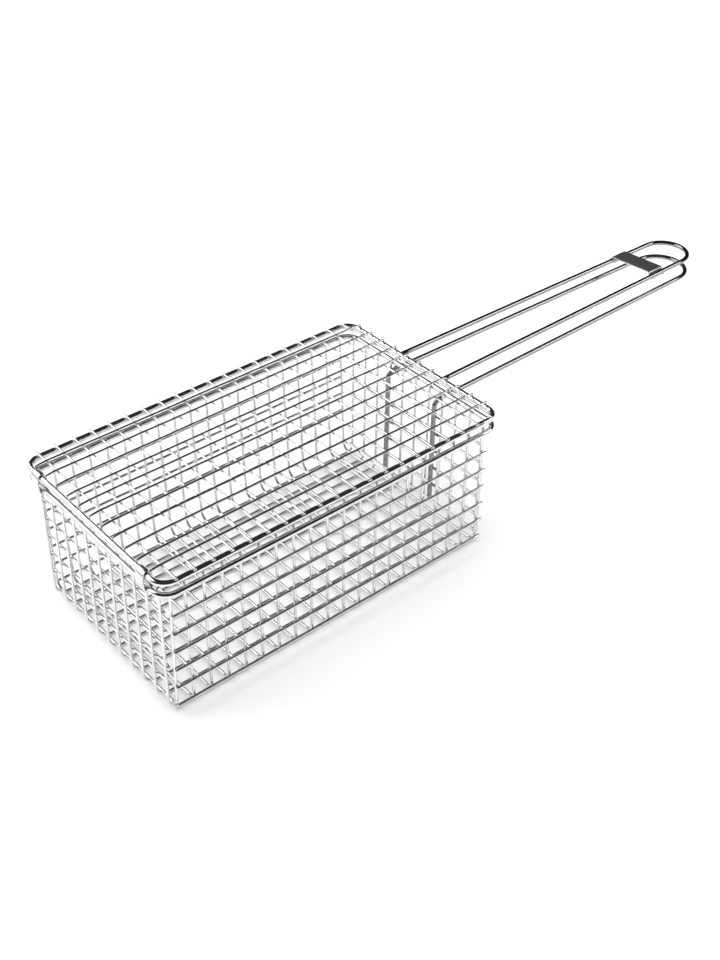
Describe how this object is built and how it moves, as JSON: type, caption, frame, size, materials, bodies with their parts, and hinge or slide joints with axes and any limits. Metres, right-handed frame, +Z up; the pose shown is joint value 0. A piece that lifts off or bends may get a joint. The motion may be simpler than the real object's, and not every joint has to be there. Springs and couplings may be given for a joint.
{
  "type": "grill basket",
  "caption": "Deep rectangular wire grill basket with a flat wire lid hinged by two loose straps and two long wire loop handles, the upper one tied by a blank plate.",
  "frame": {"origin": "middle of the basket's floor, on the surface that it stands on", "axes": "+Z up, +X along the handles away from the hinge end, +Y towards the rear long wall"},
  "size_m": [0.5246, 0.1538, 0.1081],
  "materials": {
    "rim_wire": "bright plated wire",
    "mesh_wire": "bright plated wire",
    "handle_wire": "bright plated wire",
    "plate_sheet": "satin, brushed",
    "strap_sheet": "bright, lightly brushed"
  },
  "bodies": {
    "basket": {"basket_rim": "rim_wire", "lower_handle": "handle_wire", "hinge_strap_front": "strap_sheet", "hinge_strap_rear": "strap_sheet", "corner_hoop": "mesh_wire", "cross_hoop_01": "mesh_wire", "cross_hoop_02": "mesh_wire", "cross_hoop_03": "mesh_wire", "cross_hoop_04": "mesh_wire", "cross_hoop_05": "mesh_wire", "cross_hoop_06": "mesh_wire", "cross_hoop_07": "mesh_wire", "cross_hoop_08": "mesh_wire", "cross_hoop_09": "mesh_wire", "cross_hoop_10": "mesh_wire", "cross_hoop_11": "mesh_wire", "cross_hoop_12": "mesh_wire", "cross_hoop_13": "mesh_wire", "cross_hoop_14": "mesh_wire", "cross_hoop_15": "mesh_wire", "cross_hoop_16": "mesh_wire", "cross_hoop_17": "mesh_wire", "cross_hoop_18": "mesh_wire", "cross_hoop_19": "mesh_wire", "long_hoop_01": "mesh_wire", "long_hoop_02": "mesh_wire", "long_hoop_03": "mesh_wire", "long_hoop_04": "mesh_wire", "long_hoop_05": "mesh_wire", "long_hoop_06": "mesh_wire", "long_hoop_07": "mesh_wire", "long_hoop_08": "mesh_wire", "long_hoop_09": "mesh_wire", "long_hoop_10": "mesh_wire", "long_hoop_11": "mesh_wire", "front_rows": "mesh_wire", "rear_rows": "mesh_wire", "hinge_end_rows": "mesh_wire", "handle_end_rows": "mesh_wire"},
    "lid": {"lid_rim": "rim_wire", "lid_cross_wires": "mesh_wire", "lid_long_wires": "mesh_wire", "upper_handle": "handle_wire", "handle_plate": "plate_sheet"}
  },
  "joints": [
    {"name": "lid_hinge", "type": "hinge", "parent": "basket", "child": "lid", "pos_m": [-0.127, 0, 0.1031], "axis": [0, -1, 0], "range_deg": [0, 180]}
  ]
}
